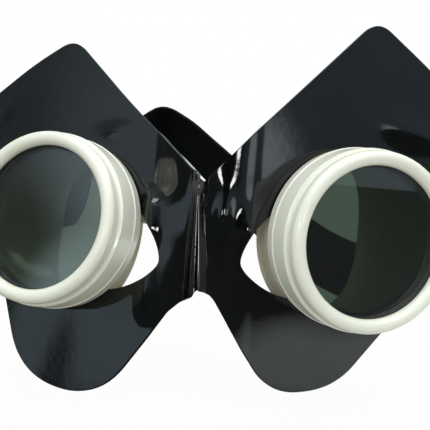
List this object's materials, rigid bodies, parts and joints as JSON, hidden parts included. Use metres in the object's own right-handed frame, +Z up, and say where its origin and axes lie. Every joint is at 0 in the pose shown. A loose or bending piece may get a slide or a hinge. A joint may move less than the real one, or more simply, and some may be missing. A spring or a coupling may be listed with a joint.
{
  "type": "cat ear goggles",
  "caption": "Round screw-ring goggles held in a glossy black vinyl panel cut with pointed cat ears and cheek lobes, with an elastic head strap.",
  "frame": {"origin": "midway between the two cups, on the plane where their rear rims meet the face", "axes": "seen from the front: +X to the right, +Y towards the wearer's head, +Z up"},
  "size_m": [0.1799, 0.1642, 0.1248],
  "materials": {
    "vinyl": "glossy black vinyl sheet",
    "ring": "glossy ivory white",
    "cup": "glossy, slightly yellower ivory",
    "cover_glass": "clear",
    "filter_glass": "dark green",
    "rubber": "matt black",
    "strap": "ribbed woven elastic",
    "slide": "moulded black",
    "metal": "satin"
  },
  "bodies": {
    "goggles": {"ear_panel": "vinyl", "left_cup": "cup", "right_cup": "cup", "left_gasket": "rubber", "right_gasket": "rubber", "nose_bridge": "rubber", "bridge_rivets": "metal", "nose_tab": "metal", "nose_stud": "slide", "head_strap": "strap"},
    "left_lens_pack": {"left_cover_lens": "cover_glass", "left_spacer": "rubber", "left_filter_lens": "filter_glass"},
    "right_lens_pack": {"right_cover_lens": "cover_glass", "right_spacer": "rubber", "right_filter_lens": "filter_glass"},
    "left_screw_ring": {"left_ring": "ring"},
    "right_screw_ring": {"right_ring": "ring"},
    "slide_buckle": {"strap_slide": "slide"}
  },
  "joints": [
    {"name": "left_lens_travel", "type": "slide", "parent": "goggles", "child": "left_lens_pack", "axis": [-0.3207, -0.9314, 0.1719], "range_m": [0, 0.012]},
    {"name": "left_ring_turn", "type": "hinge", "parent": "left_lens_pack", "child": "left_screw_ring", "pos_m": [-0.05315, -0.0298, 0.0006], "axis": [-0.3207, -0.9314, 0.1719], "range_deg": [0, 1440]},
    {"name": "right_lens_travel", "type": "slide", "parent": "goggles", "child": "right_lens_pack", "axis": [0.3874, -0.9217, -0.0192], "range_m": [0, 0.012]},
    {"name": "right_ring_turn", "type": "hinge", "parent": "right_lens_pack", "child": "right_screw_ring", "pos_m": [0.05315, -0.0362, -0.0006], "axis": [0.3874, -0.9217, -0.0192], "range_deg": [0, 1440]},
    {"name": "strap_adjust", "type": "slide", "parent": "goggles", "child": "slide_buckle", "axis": [-0.4786, 0.7217, -0.5], "range_m": [-0.006, 0.006]}
  ],
  "couplings": [
    {"joint": "left_lens_travel", "follows": "left_ring_turn", "m_per_rad": 0.00047746},
    {"joint": "right_lens_travel", "follows": "right_ring_turn", "m_per_rad": 0.00047746}
  ]
}
